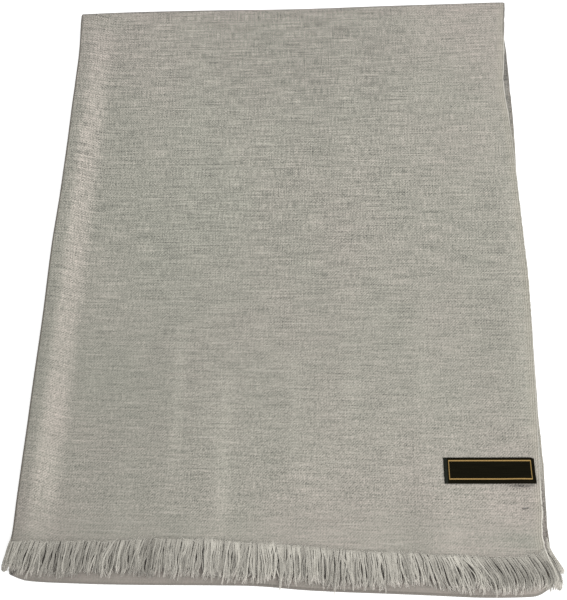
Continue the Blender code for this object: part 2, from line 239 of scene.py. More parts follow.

# One row for each lengthwise streak of painted light and shade on the top ply: its x, its two ends along
# Y, half its width and how much lighter it is.
SHADE_STREAKS = (
    (-0.0680, -0.060, -0.160, 0.0045, 0.15), (-0.0345, -0.095, -0.195, 0.0050, 0.15),
    (0.0125, -0.070, -0.150, 0.0040, 0.06), (0.0520, -0.080, -0.150, 0.0050, 0.06),
    (0.0775, -0.105, -0.160, 0.0050, 0.07), (0.0990, -0.055, -0.150, 0.0045, 0.07),
    (0.1150, -0.165, -0.205, 0.0050, 0.08), (0.0910, -0.165, -0.205, 0.0080, -0.08),
    (0.1400, -0.025, -0.140, 0.0150, -0.07), (-0.1480, -0.030, -0.150, 0.0090, -0.05),
    (0.0980, 0.190, 0.160, 0.0150, -0.05), (-0.1580, 0.230, 0.200, 0.0100, -0.06),
    (-0.0520, -0.175, -0.205, 0.0060, 0.04), (0.1680, 0.060, -0.130, 0.0050, 0.10),
)

# One row for each opening between the yarns of the top fringe: its x, half its width, and how far along
# the fringe its middle lies.
OPENINGS = (
    (-0.1616, 0.0004, 0.20), (-0.1570, 0.0004, 0.15), (-0.1500, 0.0003, 0.30), (-0.1435, 0.0003, 0.60),
    (-0.1388, 0.0005, 0.35), (-0.1300, 0.0004, 0.70), (-0.1155, 0.0008, 0.50), (-0.1047, 0.0013, 0.72),
    (-0.0949, 0.0006, 0.60), (-0.0815, 0.0008, 0.55), (-0.0716, 0.0011, 0.60), (-0.0655, 0.0004, 0.40),
    (-0.0485, 0.0005, 0.20), (-0.0300, 0.0004, 0.55), (-0.0070, 0.0008, 0.62), (0.0041, 0.0006, 0.65),
    (0.0105, 0.0006, 0.50), (0.0226, 0.0005, 0.70), (0.0400, 0.0004, 0.55), (0.0530, 0.0005, 0.70),
    (0.0700, 0.0004, 0.45), (0.0860, 0.0005, 0.60), (0.1059, 0.0008, 0.50), (0.1216, 0.0006, 0.75),
    (0.1298, 0.0009, 0.42), (0.1352, 0.0006, 0.55), (0.1388, 0.0005, 0.45), (0.1548, 0.0005, 0.60),
    (0.1571, 0.0006, 0.35),
)

# One row for each pale tuft at the start of the top fringe: its x, half its width and how pale it is.
TUFTS = (
    (-0.0374, 0.0040, 0.45), (-0.0227, 0.0035, 0.35), (0.0015, 0.0060, 0.35), (0.0124, 0.0025, 0.40),
    (0.0309, 0.0025, 0.30), (0.0488, 0.0040, 0.40), (0.0665, 0.0030, 0.30), (0.1114, 0.0038, 0.85),
    (0.1255, 0.0020, 0.40), (-0.0880, 0.0030, 0.15), (-0.0560, 0.0030, 0.25), (0.1500, 0.0050, 0.20),
)

# One row for each lock of threads: the points that its middle passes, its threads, its
# width at both ends and how pale it is.
LOCKS = (
    (((0.1718, -0.1915, 0.0080), (0.1728, -0.1975, 0.0079), (0.1753, -0.2027, 0.0077),
      (0.1786, -0.2079, 0.0073), (0.1815, -0.2126, 0.0068)), 18, 0.0020, 0.0030, 0.66),
    (((0.1686, -0.1985, 0.0103), (0.1718, -0.2050, 0.0096), (0.1753, -0.2110, 0.0085),
      (0.1776, -0.2165, 0.0076), (0.1781, -0.2226, 0.0070)), 20, 0.0024, 0.0034, 0.62),
    (((0.1699, -0.1975, 0.0106), (0.1716, -0.2030, 0.0104), (0.1745, -0.2085, 0.0095),
      (0.1771, -0.2140, 0.0083), (0.1782, -0.2170, 0.0078)), 4, 0.0010, 0.0010, 1.10),
    (((-0.1715, -0.1985, 0.0100), (-0.1729, -0.2050, 0.0091), (-0.1745, -0.2110, 0.0080),
      (-0.1759, -0.2165, 0.0071), (-0.1759, -0.2213, 0.0066)), 20, 0.0022, 0.0040, 0.36),
)

# The camera: place in the pile's frame, its axes, and its lens for a sensor 36 mm long.
CAMERA_PLACE = (0.0399, -0.2014, 0.4951)
CAMERA_RIGHT = (0.9974, 0.0253, -0.0677)
CAMERA_UP = (-0.0019, 0.9455, 0.3255)
CAMERA_LENS = 43.2


def size_of(name, description, default):
    """A length that a user may change."""
    return bpy.props.FloatProperty(
        name=name, description=description, default=default, min=0.0, precision=5, unit="LENGTH"
    )


def tint(name, description, default):
    """A linear colour that a user may change."""
    return bpy.props.FloatVectorProperty(
        name=name, description=description, default=default, size=3, min=0.0, max=1.0, subtype="COLOR"
    )


class ScarfClothLook(bpy.types.PropertyGroup):
    thread: size_of("Thread spacing", "Distance from one thread of the twill to the next", 0.00048)
    green: tint("Green grey", "Colour of the greener threads", (0.262, 0.261, 0.219))
    pink: tint("Pink grey", "Colour of the warmer threads", (0.330, 0.288, 0.258))
    slub: tint("Slub", "Colour of the thick pale places in the weft", (0.43, 0.41, 0.36))
    selvedge: tint("Selvedge", "Colour of the dense woven edge", (0.36, 0.335, 0.275))
    # Painted shade where the cloth bends round a fold, and the colour of thin places in the weft.
    thin_and_fold_shade: tint("Fold line", "Colour of the cloth on a pressed fold", (0.085, 0.072, 0.056))


class ScarfFringeLook(bpy.types.PropertyGroup):
    radius: size_of("Thread radius", "Half the thickness of a fringe thread", THREAD_RADIUS)
    dark: tint("Dark thread", "Colour of the darkest fringe threads", (0.145, 0.135, 0.113))
    light: tint("Light thread", "Colour of the palest fringe threads", (0.535, 0.512, 0.452))
    tip: tint("Thread tip", "Colour of the frayed tips", (0.68, 0.635, 0.575))


class ScarfLabelLook(bpy.types.PropertyGroup):
    width: size_of("Width", "Length of the label along X", 0.0580)
    depth: size_of("Depth", "Depth of the label along Y", 0.0166)
    border: size_of("Border line", "Thickness of the woven border line", 0.0010)
    black: tint("Black weave", "Colour of the ground", (0.0054, 0.0046, 0.0018))
    turned: tint("Turned end", "Colour of the end that is folded under", (0.014, 0.016, 0.0125))
    gold: tint("Gold weave", "Colour of the border line", (0.36, 0.235, 0.085))


class ScarfStageLook(bpy.types.PropertyGroup):
    floor: tint("Floor", "Colour of the plain floor", (0.93, 0.93, 0.93))


def pile_shift():
    """From the pile's frame to the row frame: how far the label's middle is from its measured place."""
    low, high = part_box("label")
    middle = (np.array(low) + np.array(high)) / 2
    return np.array([middle[0] - LABEL_CENTRE[0], middle[1] - LABEL_CENTRE[1], 0.0])


SHIFT = pile_shift()


def ply_height(ply):
    """Height of the middle of a ply's wall, counted from the floor."""
    return WALL / 2 + ply * PITCH


def smooth(value, low, high):
    """0 below low, 1 above high, and an S-curve between them."""
    t = np.clip((value - low) / (high - low), 0, 1)
    return t * t * (3 - 2 * t)


def below(value, low, high):
    """1 below low, 0 above high, and an S-curve between them."""
    return 1 - smooth(value, low, high)


def bell(value, middle, half):
    """1 at the middle, falling to 1/e at half a width from it."""
    return np.exp(-(((value - middle) / half) ** 2))


def line_at(table, x, blur=0.006):
    """A drawn line's y at x: straight pieces between its points, averaged over a little of x."""
    at, value = np.array(table).T
    return sum(np.interp(x + shift, at, value) for shift in np.linspace(-blur, blur, 7)) / 7


def hem(row, x):
    """The y of the row where a stretch's cloth ends: the drawn line on top, and straight below it."""
    return line_at(HEM_LINE, x) if row["drawn"] else np.full_like(x, HEM_Y)


def corner_pull(y):
    """How far an edge draws in at y: two quarter circles, one at each end of the pile."""
    far = np.clip((y - (PILE_FAR - CORNER)) / CORNER, 0, 0.97)
    near = np.clip(((PILE_NEAR + CORNER) - y) / CORNER, 0, 0.97)
    return CORNER * (2 - np.sqrt(1 - far**2) - np.sqrt(1 - near**2))


def edge(row, which, y):
    """The x of a stretch's fold or selvedge at y, drawn in at the corners.

    The top ply's selvedge is a drawn line. Each other edge is a straight line and a slow sine, with a
    spread at the far end and the drift of the whole pile's side.
    """
    if row["drawn"] and which == "outer":
        return line_at(TOP_SELVEDGE, y, 0.004) - corner_pull(y) - TUCK * smooth(y, *TUCK_Y)
    phase = EDGE_PHASE[which] + row["waves"]
    wander = row["wander"] * np.sin(row["waves"] * 2 * np.pi * y / (PILE_FAR - PILE_NEAR) + phase)
    spread = row[which + "_spread"] * smooth(y, *SPREAD_Y)
    if which == "fold":
        return row["fold"] + 0.4 * wander - spread + line_at(FOLD_DRIFT, y) + corner_pull(y)
    return row[which] + wander + spread + line_at(RIGHT_DRIFT, y) - corner_pull(y)


def swell(x, y):
    """Height of the top's soft relief: a bell along the fold, products of sines, and one crease."""
    puff = PUFF_HEIGHT * bell(x, PILE_LEFT + PUFF_IN, PUFF_WIDTH)
    waves = WAVE_HEIGHT * (1 + np.sin(38 * x + 9 * y) * np.cos(17 * y - 11 * x))
    across = y - CREASE_Y - CREASE_SLOPE * (x - CREASE_X[0])
    return puff + waves + CREASE_HEIGHT * smooth(x, *CREASE_X) * bell(across, 0, CREASE_WIDTH)


def fold_path(start, turn, end, first_z, last_z, steps, extra=()):
    """A strip's middle line: a level leg, a half circle and a level leg back.

    Gives y, z, the outward normal's y and z, 1 on the first leg and 0 past it, and the distance run.
    """
    side = np.sign(turn - start)
    up = np.sign(first_z - last_z)
    middle = (first_z + last_z) / 2
    radius = abs(first_z - last_z) / 2
    first = np.sort(np.concatenate([np.linspace(start, turn, steps["first"]), extra]))
    first = first[::int(side)] if side < 0 else first
    angle = np.linspace(0, np.pi, steps["turn"] + 1)[1:-1]
    last = np.linspace(turn, end, steps["last"])
    y = np.concatenate([first, turn + side * radius * np.sin(angle), last])
    bow = np.concatenate([np.ones_like(first), np.cos(angle), -np.ones_like(last)])
    z = middle + up * radius * bow
    normal_y = np.concatenate([np.zeros_like(first), side * np.sin(angle), np.zeros_like(last)])
    on_first = np.concatenate([np.ones_like(first), np.zeros(len(angle) + len(last))])
    run = np.concatenate([[0.0], np.cumsum(np.hypot(np.diff(y), np.diff(z)))])
    return y, z, normal_y, up * bow, on_first, run


def hairpin(outer_steps, inner_steps):
    """A strip's section: in along the outer ply, round the lengthwise fold, out along the inner one.

    Gives reach (1 at a selvedge, 0 at the fold), nose (how far out the roll stands), swing (+1 on the
    outer ply, -1 on the inner one) and the angle of the roll.
    """
    outer = np.unique(np.concatenate([np.linspace(0, 1, outer_steps), FINE_REACH]))[::-1]
    inner = np.linspace(0, 1, inner_steps)
    angle = np.linspace(np.pi / 2, -np.pi / 2, ROLL_STEPS + 1)[1:-1]
    reach = np.concatenate([outer, np.zeros_like(angle), inner])
    nose = np.concatenate([0 * outer, np.cos(angle), 0 * inner])
    turn = np.concatenate([0 * outer + np.pi / 2, angle, 0 * inner - np.pi / 2])
    return reach, nose, np.sin(turn), turn


def stretch_surface(name, path):
    """The middle surface of one stretch: point(u, v) = path(v) + section(u), with the relief on top.

    Gives the points, the weave's coordinates in metres, the distance to the nearest selvedge and how
    much the cloth bends there.
    """
    row = STRETCHES[name]
    y, z, normal_y, normal_z, on_first, run = (part[:, None] for part in path)
    reach, nose, swing, turn = hairpin(*row["across"])
    selvedge = np.where(swing > 0, edge(row, "outer", y), edge(row, "inner", y))
    fold = edge(row, "fold", y)
    width = selvedge - fold - PLY_RADIUS
    x = fold + PLY_RADIUS * (1 - nose) + reach * width
    drawn = on_first * below(y, HEM_Y, HEM_Y + HEM_FADE) * (hem(row, x) - HEM_Y)
    shown_y = y + normal_y * PLY_RADIUS * swing + drawn
    if name == "under_stretch":
        shown_y = shown_y + smooth(-shown_y, *NEAR_BOW_Y) * (line_at(NEAR_LINE, x) - PILE_NEAR)
    shown_y = shown_y + smooth(shown_y, *FAR_BOW_Y) * line_at(FAR_DRIFT, x)
    height = z + normal_z * PLY_RADIUS * swing
    if name == "end_stretch":
        relief = swell(x, y) + fine_relief(x, y) * (swing > 0)
        height = height + on_first * below(y, *RELIEF_END_Y) * relief
    points = np.stack([x, shown_y, height], axis=-1) + SHIFT
    across = turn * PLY_RADIUS + np.sign(swing) * reach * width
    weave = np.stack([across, run + drawn], axis=-1)
    rim = (1 - reach) * width
    # The strip beside the fold counts as bending, so the twill paints the fold's shade on it too.
    by_fold = bell(reach * width, 0, FOLD_LINE_WIDTH) * (swing > 0)
    bend = np.maximum(np.maximum(nose, by_fold), np.abs(normal_y))
    return points, weave, rim, bend


def crease_field(x, y):
    """The sum of the top ply's small creases: for each, a bell across it, faded at both ends."""
    total = np.zeros_like(x)
    for x0, y0, x1, y1, width, height in CREASES:
        along = np.array([x1 - x0, y1 - y0])
        length = np.hypot(*along)
        along = along / length
        run = ((x - x0) * along[0] + (y - y0) * along[1]) / length
        across = (y - y0) * along[0] - (x - x0) * along[1]
        fold = bell(across, 0, width) - 0.6 * bell(across, -1.7 * width, 1.4 * width)
        total = total + height * fold * smooth(run, -0.1, 0.25) * below(run, 0.85, 1.15)
    return total


def fine_relief(x, y):
    """Shallow relief on the top ply: low bands along Y, and the small creases."""
    bands = 0.00010 * np.sin(2 * np.pi * x / 0.041 + 1.3 * np.sin(9 * y)) * smooth(x, -0.15, -0.11)
    return bands + crease_field(x, y)


def put(name, data):
    """A new object in the scene."""
    obj = bpy.data.objects.new(name, data)
    bpy.context.scene.collection.objects.link(obj)
    return obj


def put_mesh(name, points, faces, material, weave, marks):
    """A smooth mesh object at the origin from arrays: points, quads, a UV map and point attributes."""
    points = np.ascontiguousarray(points.reshape(-1, 3), dtype=np.float32)
    faces = np.ascontiguousarray(faces, dtype=np.int32)
    mesh = bpy.data.meshes.new(name)
    mesh.vertices.add(len(points))
    mesh.vertices.foreach_set("co", points.ravel())
    mesh.loops.add(faces.size)
    mesh.loops.foreach_set("vertex_index", faces.ravel())
    mesh.polygons.add(len(faces))
    mesh.polygons.foreach_set("loop_start", np.arange(0, faces.size, 4, dtype=np.int32))
    mesh.update(calc_edges=True)
    mesh.shade_smooth()
    layer = mesh.uv_layers.new(name="weave")
    corners = weave.reshape(-1, 2)[faces.ravel()].astype(np.float32)
    layer.uv.foreach_set("vector", np.ascontiguousarray(corners).ravel())
    for key, values in marks.items():
        attribute = mesh.attributes.new(key, "FLOAT", "POINT")
        attribute.data.foreach_set("value", np.ascontiguousarray(values, dtype=np.float32).ravel())
    mesh.materials.append(material)
    obj = put(name, mesh)
    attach(obj, "root")
    return obj


def grid_faces(rows, columns):
    """Quads of a grid of points numbered row by row."""
    corner = (np.arange(rows - 1)[:, None] * columns + np.arange(columns - 1)).reshape(-1)
    return np.stack([corner, corner + 1, corner + columns + 1, corner + columns], axis=1)


def give_wall(obj, thickness):
    """A wall on an open sheet, centred on it."""
    solid = obj.modifiers.new("wall", "SOLIDIFY")
    solid.thickness = thickness
    solid.offset = 0.0


def tubes(line, radius):
    """Tubes of four sides along many lines at once.

    Ring point = line + radius * (cos a * across + sin a * up), a in quarter turns. line is (tubes, rings,
    3) and radius is (tubes, rings). Gives the points, the quads with both caps, and UVs: the share of a
    turn, and the metres run along the tube.
    """
    count, rings = radius.shape
    ahead = np.gradient(line, axis=1)
    ahead /= np.linalg.norm(ahead, axis=-1, keepdims=True)
    across = np.cross(ahead, [0.0, 0.0, 1.0])
    across /= np.linalg.norm(across, axis=-1, keepdims=True)
    up = np.cross(across, ahead)
    turns = np.arange(4) * np.pi / 2
    spin = np.cos(turns)[:, None] * across[:, :, None] + np.sin(turns)[:, None] * up[:, :, None]
    points = line[:, :, None] + radius[:, :, None, None] * spin
    base = np.arange(count)[:, None, None] * rings * 4 + np.arange(rings - 1)[None, :, None] * 4
    here = base + np.arange(4)
    after = base + (np.arange(4) + 1) % 4
    sides = np.stack([here, here + 4, after + 4, after], axis=-1).reshape(-1, 4)
    first = np.arange(count)[:, None] * rings * 4 + np.arange(4)
    last = first[:, ::-1] + (rings - 1) * 4
    faces = np.concatenate([sides, first, last])
    run = np.concatenate(
        [np.zeros((count, 1)), np.cumsum(np.linalg.norm(np.diff(line, axis=1), axis=-1), axis=1)], axis=1
    )
    uv = np.stack(np.broadcast_arrays(turns / (2 * np.pi), run[:, :, None]), axis=-1)
    return points, faces, uv


class Wire:
    """An output of a node. Operators on it add Math nodes: a + b, a - b, 1 - a, a * b, a / b, a ** b."""

    def __init__(self, bench, socket):
        self.bench = bench
        self.socket = socket

    def math(self, operation, *others):
        values = dict(enumerate((self, *others)))
        return self.bench.add("ShaderNodeMath", {"operation": operation}, values)

    def __add__(self, other):
        return self.math("ADD", other)

    def __sub__(self, other):
        return self.math("SUBTRACT", other)

    def __mul__(self, other):
        return self.math("MULTIPLY", other)

    def __truediv__(self, other):
        return self.math("DIVIDE", other)

    def __pow__(self, other):
        return self.math("POWER", other)

    def __rsub__(self, other):
        return self.bench.add("ShaderNodeMath", {"operation": "SUBTRACT"}, {0: other, 1: self})

    __radd__ = __add__
    __rmul__ = __mul__

    def rise(self, low, high):
        """0 below low, 1 above high, smooth between them."""
        values = {"Value": self, "From Min": low, "From Max": high}
        return self.bench.add("ShaderNodeMapRange", {"interpolation_type": "SMOOTHSTEP"}, values)


class Bench:
    """A new material, and the one place where its nodes are made."""

    def __init__(self, name, **constants):
        self.material = bpy.data.materials.new(name)
        self.material.use_nodes = True
        self.tree = self.material.node_tree
        self.shader = self.tree.nodes["Principled BSDF"]
        for key, value in constants.items():
            self.shader.inputs[key.replace("_", " ")].default_value = value

    def add(self, kind, settings=None, values=None, output=0):
        node = self.tree.nodes.new(kind)
        for key, value in (settings or {}).items():
            setattr(node, key, value)
        for key, value in (values or {}).items():
            self.plug(node.inputs[key], value)
        return Wire(self, node.outputs[output])

    def plug(self, socket, value):
        if isinstance(value, Wire):
            self.tree.links.new(value.socket, socket)
        else:
            socket.default_value = value

    def show(self, **links):
        for key, value in links.items():
            self.plug(self.shader.inputs[key.replace("_", " ")], value)

    def uv(self):
        weave = self.add("ShaderNodeUVMap", {"uv_map": "weave"})
        split = self.add("ShaderNodeSeparateXYZ", None, {0: weave})
        return [Wire(self, socket) for socket in split.socket.node.outputs[:2]]

    def mark(self, name):
        return self.add("ShaderNodeAttribute", {"attribute_name": name}, output=2)

    def noise(self, x, y, detail=0.0):
        """Soft noise from about -1 to 1 at a point."""
        place = self.add("ShaderNodeCombineXYZ", None, {0: x, 1: y})
        values = {"Vector": place, "Scale": 1.0, "Detail": detail}
        return (self.add("ShaderNodeTexNoise", {"noise_dimensions": "2D"}, values) - 0.5) * 3.0

    def layers(self, x, y, rows):
        """A sum of noises, one for each row: its scales along x and y, its detail and its weight."""
        total = 0.0
        for across, along, detail, weight in rows:
            total = self.noise(x * across, y * along, detail) * weight + total
        return total

    def blend(self, share, first, second):
        """first where share is 0, second where it is 1."""
        values = {0: share, 6: self.full(first), 7: self.full(second)}
        return self.add("ShaderNodeMix", {"data_type": "RGBA"}, values, output=2)

    def full(self, colour):
        return colour if isinstance(colour, Wire) else (*colour, 1.0)

    def dim(self, colour, amount):
        """A colour times a number."""
        values = {0: colour, "Scale": amount}
        return self.add("ShaderNodeVectorMath", {"operation": "SCALE"}, values)

    def bump(self, height, distance, strength):
        values = {"Height": height, "Distance": distance, "Strength": strength}
        return self.add("ShaderNodeBump", None, values)


# One row for each noise of the twill's threads: its scales across and along, its detail and its weight.
# The far ones take over towards the far fold.
WARP_NEAR = ((900.0, 80.0, 1.0, 0.8), (1150.0, 430.0, 0.0, 0.8))
WARP_FAR = ((1150.0, 110.0, 0.0, 1.3), (1400.0, 480.0, 0.0, 0.5))
WEFT_NEAR = ((60.0, 900.0, 1.0, 1.0), (430.0, 1150.0, 0.0, 1.0))
WEFT_FAR = ((48.0, 1050.0, 0.0, 1.2), (260.0, 1300.0, 0.0, 0.7))
RISING_LINES = 375.0  # diagonal lines for each metre across
FALLING_LINES = 365.0
RIB = 0.0014  # from one rib of the selvedge to the next
BOW_FROM_FOLD = (0.004, 0.034)  # how far from the lengthwise fold the weft's bow starts and ends
BOW = 0.0055


def twill_material(look):
    """Two-up, two-down twill with uneven threads.

    The warp lies on top where the cosine of (u - v), with a period of four threads, is positive. Noise
    stretched along each set of threads gives their tones; pale slubs and dark thin places show in the weft.
    """
    bench = Bench("twill", Roughness=0.82, Sheen_Weight=0.25, Sheen_Roughness=0.5)
    u, v = bench.uv()
    names = ("rim", "bend", "quiet", "shade", "warmth", "crisp")
    rim, bend, quiet, shade, warmth, crisp = [bench.mark(name) for name in names]
    bowed = v + u.rise(*BOW_FROM_FOLD) * BOW
    wale = ((u - bowed) * (np.pi / 2 / look.thread)).math("COSINE")
    warp_up = wale * 0.5 + 0.5
    deep = v.rise(0.04, 0.26)
    near = 1 - deep * 0.55
    warp_tone = bench.layers(u, v, WARP_NEAR) * near + bench.layers(u, v, WARP_FAR) * deep
    weft_tone = bench.layers(u, bowed, WEFT_NEAR) * near + bench.layers(u, bowed, WEFT_FAR) * deep
    thread_tone = warp_tone * warp_up + weft_tone * (1 - warp_up)
    line = bench.noise(u * 33.0, bowed * 620.0, 1.0)

    # Grain: fine specks, and diagonal lines that rise and fall in patches.
    specks = bench.noise(u * 960.0 + v * 130.0, v * 960.0 - u * 110.0, 1.0)
    specks = specks + bench.noise(u * 1500.0 - v * 200.0, v * 1500.0 + u * 170.0)
    rising = ((u - v) * (2 * np.pi * RISING_LINES)).math("COSINE")
    rising = rising * (bench.noise(u * 290.0, v * 260.0) + 0.5)
    falling = ((u + v) * (2 * np.pi * FALLING_LINES)).math("COSINE")
    falling = falling * (bench.noise(v * 280.0, u * 250.0) + 0.4)
    grain = specks * (0.80 - deep * 0.40) + (rising + falling * 1.1) * 0.68 * deep

    blotch = bench.noise(u * 70.0 + v * 21.0, v * 84.0 - u * 17.0, 3.0)
    drift = bench.noise(u * 17.0, v * 5.0, 2.0)
    tone = thread_tone * 0.30 + line * 0.10 + grain * 0.22 + blotch * 0.03 + drift * 0.04 + wale * 0.10
    streak = bench.noise(u * 34.0, bowed * 720.0).rise(0.50, 1.1) * 0.16
    streak = streak - bench.noise(u * 30.0, bowed * 690.0 + 7.0).rise(0.50, 1.1) * 0.15
    tone = (tone + streak * (0.4 + deep * 0.6)) * crisp
    hue = bench.noise(u * 19.0 + v * 3.0, v * 11.0, 2.0) * 0.22 + thread_tone * 0.28 + line * 0.18 + 0.22
    ground = bench.blend((hue + quiet * 0.7 + warmth).rise(-0.5, 1.7), look.green, look.pink)
    ground = bench.dim(ground, tone + shade + 1.0)

    # Slubs and thin places, each a part of one pair of weft threads.
    weft_pair = (bowed / look.thread * 0.5).math("FLOOR")
    slub = (bench.noise(u * 34.0, weft_pair * 3.31) + line * 0.5).rise(0.75, 1.5) * (1 - warp_up * 0.5)
    thin = bench.noise(u * 42.0, weft_pair * 5.93).rise(0.70, 1.25) * (1 - warp_up * 0.4)
    rare = (1 - quiet) * (1 - deep * 0.5)
    ground = bench.blend(slub * rare * 0.45, ground, look.slub)
    ground = bench.blend(thin * rare * 0.20, ground, look.thin_and_fold_shade)

    # The dense ribbed edge beside a selvedge, paler except where shade is painted, and painted shade
    # where the cloth bends round a fold.
    rib = (rim * (2 * np.pi / RIB)).math("COSINE")
    dense = 1 - rim.rise(0.0010, 0.0070)
    ground = bench.blend(dense * shade.rise(-0.35, -0.02) * 0.35, ground, look.selvedge)
    ground = bench.dim(ground, dense * rib * 0.20 + 1.0)
    colour = bench.blend((bend ** 1.6) * 0.92, ground, look.thin_and_fold_shade)
    height = (wale * 0.35 + thread_tone * 0.22 + slub * 0.4 + line * 0.25) * (1 - quiet * 0.8)
    height = height + dense * rib * 0.3 + grain * 0.12
    bench.show(Base_Color=colour, Normal=bench.bump(height, 0.00016, 0.9))
    bench.show(Roughness=0.80 + thread_tone * 0.04)
    return bench.material


def thread_material(name, look):
    """Twisted fringe yarn: its tone shows more away from the cloth, and its frayed tip is paler."""
    bench = Bench(name, Roughness=0.85, Sheen_Weight=0.2, Sheen_Roughness=0.5)
    around, along = bench.uv()
    tone = bench.mark("tone")
    tip = bench.mark("tip")
    twist = ((around + along / YARN_TWIST) * (2 * np.pi)).math("COSINE")
    mottle = bench.noise(along * 420.0, tone * 91.0, 1.0)
    share = (tone - 0.48) * (0.60 + tip.rise(0.0, 0.4) * 0.40) + 0.48 + mottle * 0.10 + twist * 0.05
    colour = bench.blend(share.rise(-0.05, 1.05), look.dark, look.light)
    pale = (tone + mottle * 0.3).rise(0.40, 0.95) * 0.75 + 0.12
    colour = bench.blend(tip.rise(0.70, 1.0) * pale, colour, look.tip)
    bench.show(Base_Color=colour, Normal=bench.bump(twist * 0.5 + mottle * 0.3, 0.00012, 0.8))
    bench.show(Roughness=0.82 + mottle * 0.04)
    return bench.material


def label_material(look):
    """Satin weave with a woven border line: a band round a rectangle set in from the label's edges."""
    bench = Bench("label_weave", Roughness=0.7, Specular_IOR_Level=0.03)
    u, v = bench.uv()
    left, right, low, high = LABEL_LINE
    du = (u - (left + right) / 2).math("ABSOLUTE") - (right - left) / 2
    dv = (v - (low + high) / 2).math("ABSOLUTE") - (high - low) / 2
    ends = 1 - du.math("ABSOLUTE").rise(look.border * 0.20, look.border * 0.34)
    sides = 1 - dv.math("ABSOLUTE").rise(look.border * 0.27, look.border * 0.46)
    line = (sides * (1 - du.rise(0.0, 0.0003))).math("MAXIMUM", ends * (1 - dv.rise(0.0, 0.0002)) * 0.7)
    hem = 1 - u.rise(*LABEL_HEM)
    pick = (v * (2 * np.pi / PICK_STEP)).math("SINE")
    end = (u * (2 * np.pi / END_STEP)).math("SINE")
    float_tone = bench.noise(u * 2600.0, v * 2600.0)
    satin = bench.noise(u * 60.0, v * 1900.0)
    ground = bench.dim(bench.blend(hem, look.black, look.turned), satin * 0.22 + pick * 0.10 + 1.0)
    gold = bench.dim(look.gold, float_tone * 0.22 + end * 0.15 + 1.0)
    bench.show(Base_Color=bench.blend(line, ground, gold))
    height = pick * 0.4 + end * 0.3 + line * 1.2 + float_tone * 0.15
    bench.show(Normal=bench.bump(height, 0.00012, 0.8), Roughness=0.58 + float_tone * 0.05 - line * 0.12)
    return bench.material


def floor_material(look):
    """Plain matt floor."""
    bench = Bench("floor", Roughness=0.9, Emission_Color=(1.0, 1.0, 1.0, 1.0), Emission_Strength=0.34)
    bench.show(Base_Color=(*look.floor, 1.0))
    return bench.material


# For each tone of the cloth, one row for each soft patch: how much the tone changes there, and the factors
# of the patch, each an axis, a curve and that curve's two numbers. The patches of shade and warmth show
# only on the top ply. The patches of shade are painted light and shade: soft lighter and darker places
# across the top ply.
PATCHES = {
    "shade": (
        (-0.10, ("x", bell, 0.158, 0.017), ("y", bell, -0.194, 0.0065)),
        (-0.04, ("y", smooth, 0.205, 0.224)),
        (-0.05, ("x", bell, 0.020, 0.070), ("y", smooth, 0.08, 0.16)),
        (-0.07, ("x", bell, -0.100, 0.055), ("y", below, -0.08, -0.01)),
        (-0.05, ("x", below, -0.150, -0.100), ("y", below, -0.190, -0.140)),
        (0.04, ("x", bell, -0.080, 0.060), ("y", bell, 0.080, 0.060)),
        (0.05, ("x", smooth, 0.06, 0.12), ("y", smooth, 0.0, 0.10)),
    ),
    "warmth": (
        (0.55, ("x", smooth, 0.08, 0.15), ("y", below, -0.17, -0.10)),
        (0.45, ("x", bell, 0.045, 0.040), ("y", bell, -0.182, 0.045)),
        (-0.80, ("x", bell, 0.158, 0.017), ("y", bell, -0.194, 0.0065)),
        (-0.20, ("x", bell, -0.060, 0.060), ("y", bell, 0.060, 0.080)),
        (0.40, ("x", below, -0.150, -0.100), ("y", below, -0.190, -0.140)),
        (0.30, ("out", smooth, 0.08, 0.15), ("y", smooth, 0.12, 0.18)),
    ),
    "crisp": (
        (0.10, ("y", smooth, -0.10, 0.10)),
        (-0.38, ("x", smooth, -0.05, 0.05), ("y", below, -0.192, -0.166)),
        (-0.30, ("x", below, -0.05, 0.05), ("y", below, -0.194, -0.176)),
        (-0.16, ("x", below, -0.10, -0.04), ("y", below, -0.10, -0.02)),
        (-0.20, ("x", smooth, 0.05, 0.14), ("y", smooth, -0.04, 0.10)),
    ),
}


def patch_sum(tone, place):
    """The sum of one tone's patches: for each, its amount times its factors."""
    total = 0.0
    for amount, *factors in PATCHES[tone]:
        shares = [curve(place[axis], first, second) for axis, curve, first, second in factors]
        total = total + amount * np.prod(shares, axis=0)
    return total


def cloth_paths():
    """The path of each stretch along the folded pile."""
    pair = [ply_height(2 * k) + PLY_RADIUS for k in range(4)]  # middles of the pairs of plies
    far_turn = PILE_FAR - (pair[3] - pair[0]) / 2 - PLY_RADIUS - WALL / 2
    near_turn = PILE_NEAR + (pair[1] - pair[0]) / 2 + PLY_RADIUS + WALL / 2
    lap_end = PILE_NEAR + LAP
    by_crease = np.concatenate([np.linspace(-0.196, -0.158, 32), np.linspace(-0.069, -0.031, 22)]) + 0.0004
    return {
        "end_stretch": fold_path(
            HEM_Y, far_turn, far_turn - GAP, pair[3], pair[0],
            {"first": 120, "turn": 20, "last": 2}, by_crease,
        ),
        "under_stretch": fold_path(
            far_turn - 2 * GAP, near_turn, lap_end, pair[0], pair[1],
            {"first": 80, "turn": 16, "last": 12},
        ),
        "hidden_layers": fold_path(
            HEM_Y, far_turn, lap_end + GAP, pair[2], pair[1],
            {"first": 70, "turn": 12, "last": 60},
        ),
    }


def shade_streak_field(x, y):
    """The sum of the painted streaks of light and shade: for each, a bell across it, faded at both ends."""
    total = np.zeros_like(x)
    for at, far, near, width, amount in SHADE_STREAKS:
        ends = below(y, far - 0.02, far + 0.02) * smooth(y, near - 0.012, near + 0.012)
        total = total + amount * bell(x, at, width) * ends
    return total


